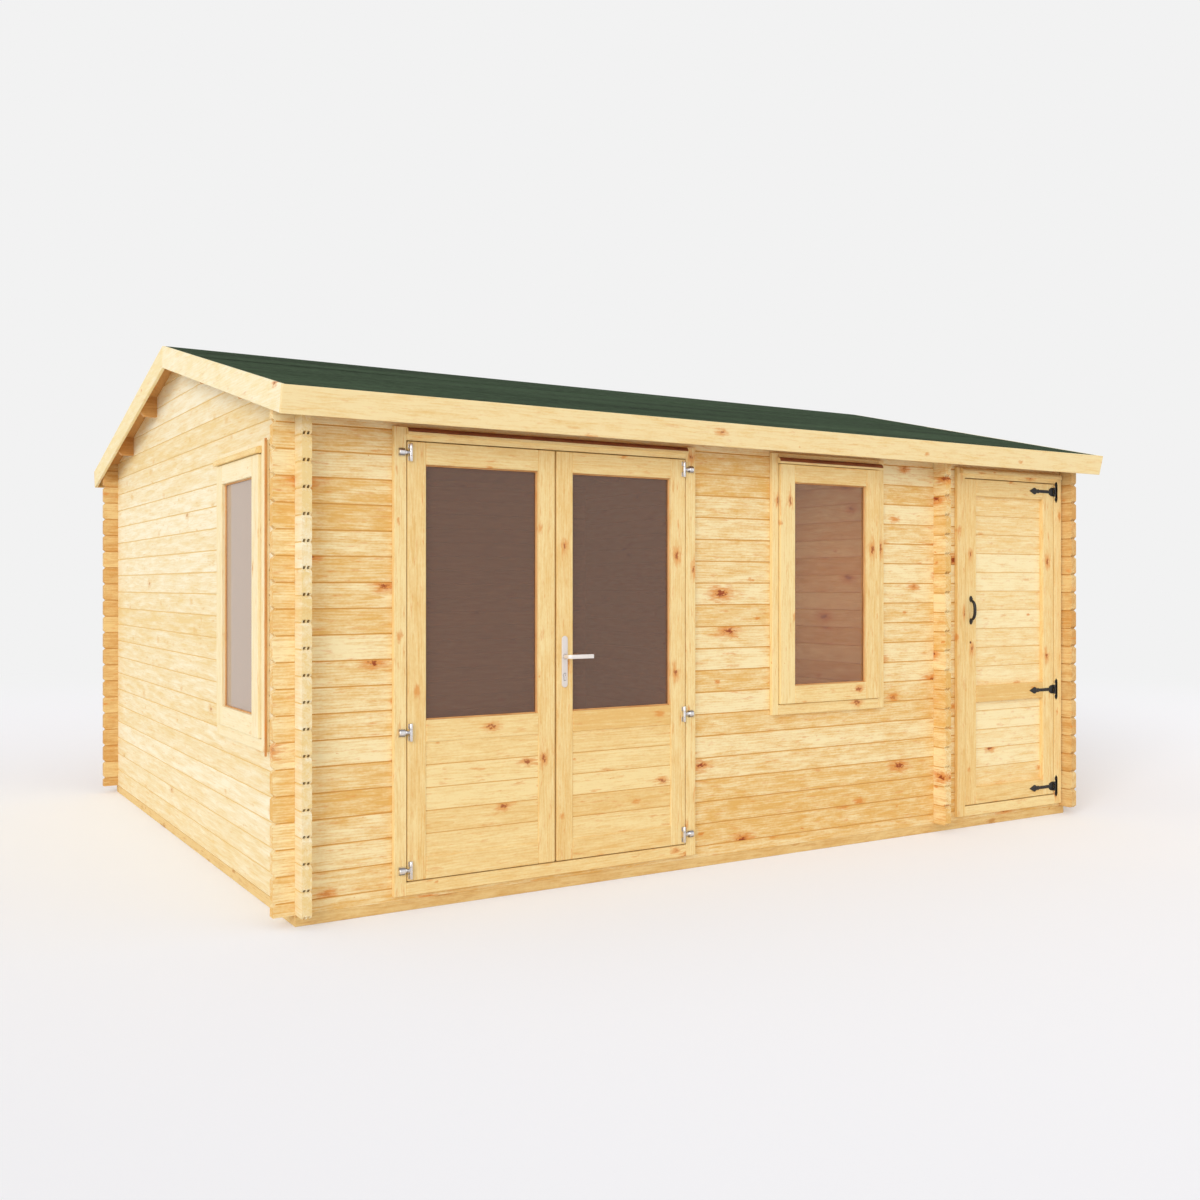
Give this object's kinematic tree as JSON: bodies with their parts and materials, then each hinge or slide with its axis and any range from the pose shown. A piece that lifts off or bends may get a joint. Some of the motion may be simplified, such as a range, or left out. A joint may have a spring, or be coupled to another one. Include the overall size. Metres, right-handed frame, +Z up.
{
  "type": "log cabin",
  "caption": "Timber cabin of interlocking square logs with a glazed double door, windows, a lockable side store and a low pitched felt roof.",
  "frame": {"origin": "on the ground under the middle of the cabin", "axes": "+X along the front to the right, +Y from the front to the back, +Z up"},
  "size_m": [5.276, 4.476, 2.8154],
  "materials": {
    "raw_logs": "smooth planed pine, untreated",
    "base_timber": "rough sawn, pressure treated",
    "floor_timber": "planed tongued and grooved boards",
    "roof_timber": "planed tongued and grooved boards",
    "joinery_timber": "smooth planed pine",
    "felt": "bitumen felt with green mineral granules",
    "window_glass": "clear flat glass",
    "bright_steel": "bright zinc plated",
    "black_iron": "black lacquered"
  },
  "bodies": {
    "cabin": {"long_bearers": "base_timber", "cross_bearers": "base_timber", "floor_joists": "base_timber", "floor_boards": "floor_timber", "front_wall_base": "raw_logs", "front_wall_left": "raw_logs", "front_wall_middle": "raw_logs", "front_wall_under_window": "raw_logs", "front_wall_right": "raw_logs", "front_wall_end": "raw_logs", "front_wall_top": "raw_logs", "back_wall": "raw_logs", "left_wall_lower": "raw_logs", "left_wall_front": "raw_logs", "left_wall_rear": "raw_logs", "left_gable": "raw_logs", "partition_wall": "raw_logs", "right_wall": "raw_logs", "purlins": "roof_timber", "front_roof_boards": "roof_timber", "rear_roof_boards": "roof_timber", "front_felt": "felt", "rear_felt": "felt", "fascias": "joinery_timber", "bargeboards": "joinery_timber", "door_jambs": "joinery_timber", "door_heads": "joinery_timber", "door_sills": "joinery_timber", "drip_boards": "joinery_timber", "window_frames": "joinery_timber", "window_sashes": "joinery_timber", "window_glass": "window_glass", "hinge_sockets": "bright_steel", "strap_hinge_plates": "black_iron"},
    "left_leaf": {"left_leaf_frame": "joinery_timber", "left_leaf_panel": "joinery_timber", "left_leaf_glass": "window_glass", "left_hinge_pins": "bright_steel"},
    "right_leaf": {"right_leaf_frame": "joinery_timber", "right_leaf_panel": "joinery_timber", "right_leaf_glass": "window_glass", "right_hinge_pins": "bright_steel", "handle_plates": "bright_steel"},
    "levers": {"door_levers": "bright_steel"},
    "store_leaf": {"store_leaf_frame": "joinery_timber", "store_leaf_panels": "joinery_timber", "strap_hinges": "black_iron", "pull_handle": "black_iron"}
  },
  "joints": [
    {"name": "left_leaf_hinge", "type": "hinge", "parent": "cabin", "child": "left_leaf", "pos_m": [-2.001, -2.065, 1.1], "axis": [0, 0, -1], "range_deg": [0, 110]},
    {"name": "right_leaf_hinge", "type": "hinge", "parent": "cabin", "child": "right_leaf", "pos_m": [-0.501, -2.065, 1.1], "axis": [0, 0, 1], "range_deg": [0, 110]},
    {"name": "store_leaf_hinge", "type": "hinge", "parent": "cabin", "child": "store_leaf", "pos_m": [2.3985, -2.0615, 1.1], "axis": [0, 0, 1], "range_deg": [0, 110]},
    {"name": "lever_turn", "type": "hinge", "parent": "right_leaf", "child": "levers", "pos_m": [-1.2044, -2.033, 1.12], "axis": [0, 1, 0], "range_deg": [0, 40], "stiffness_Nm_per_rad": 1, "springref_deg": -20.05}
  ]
}
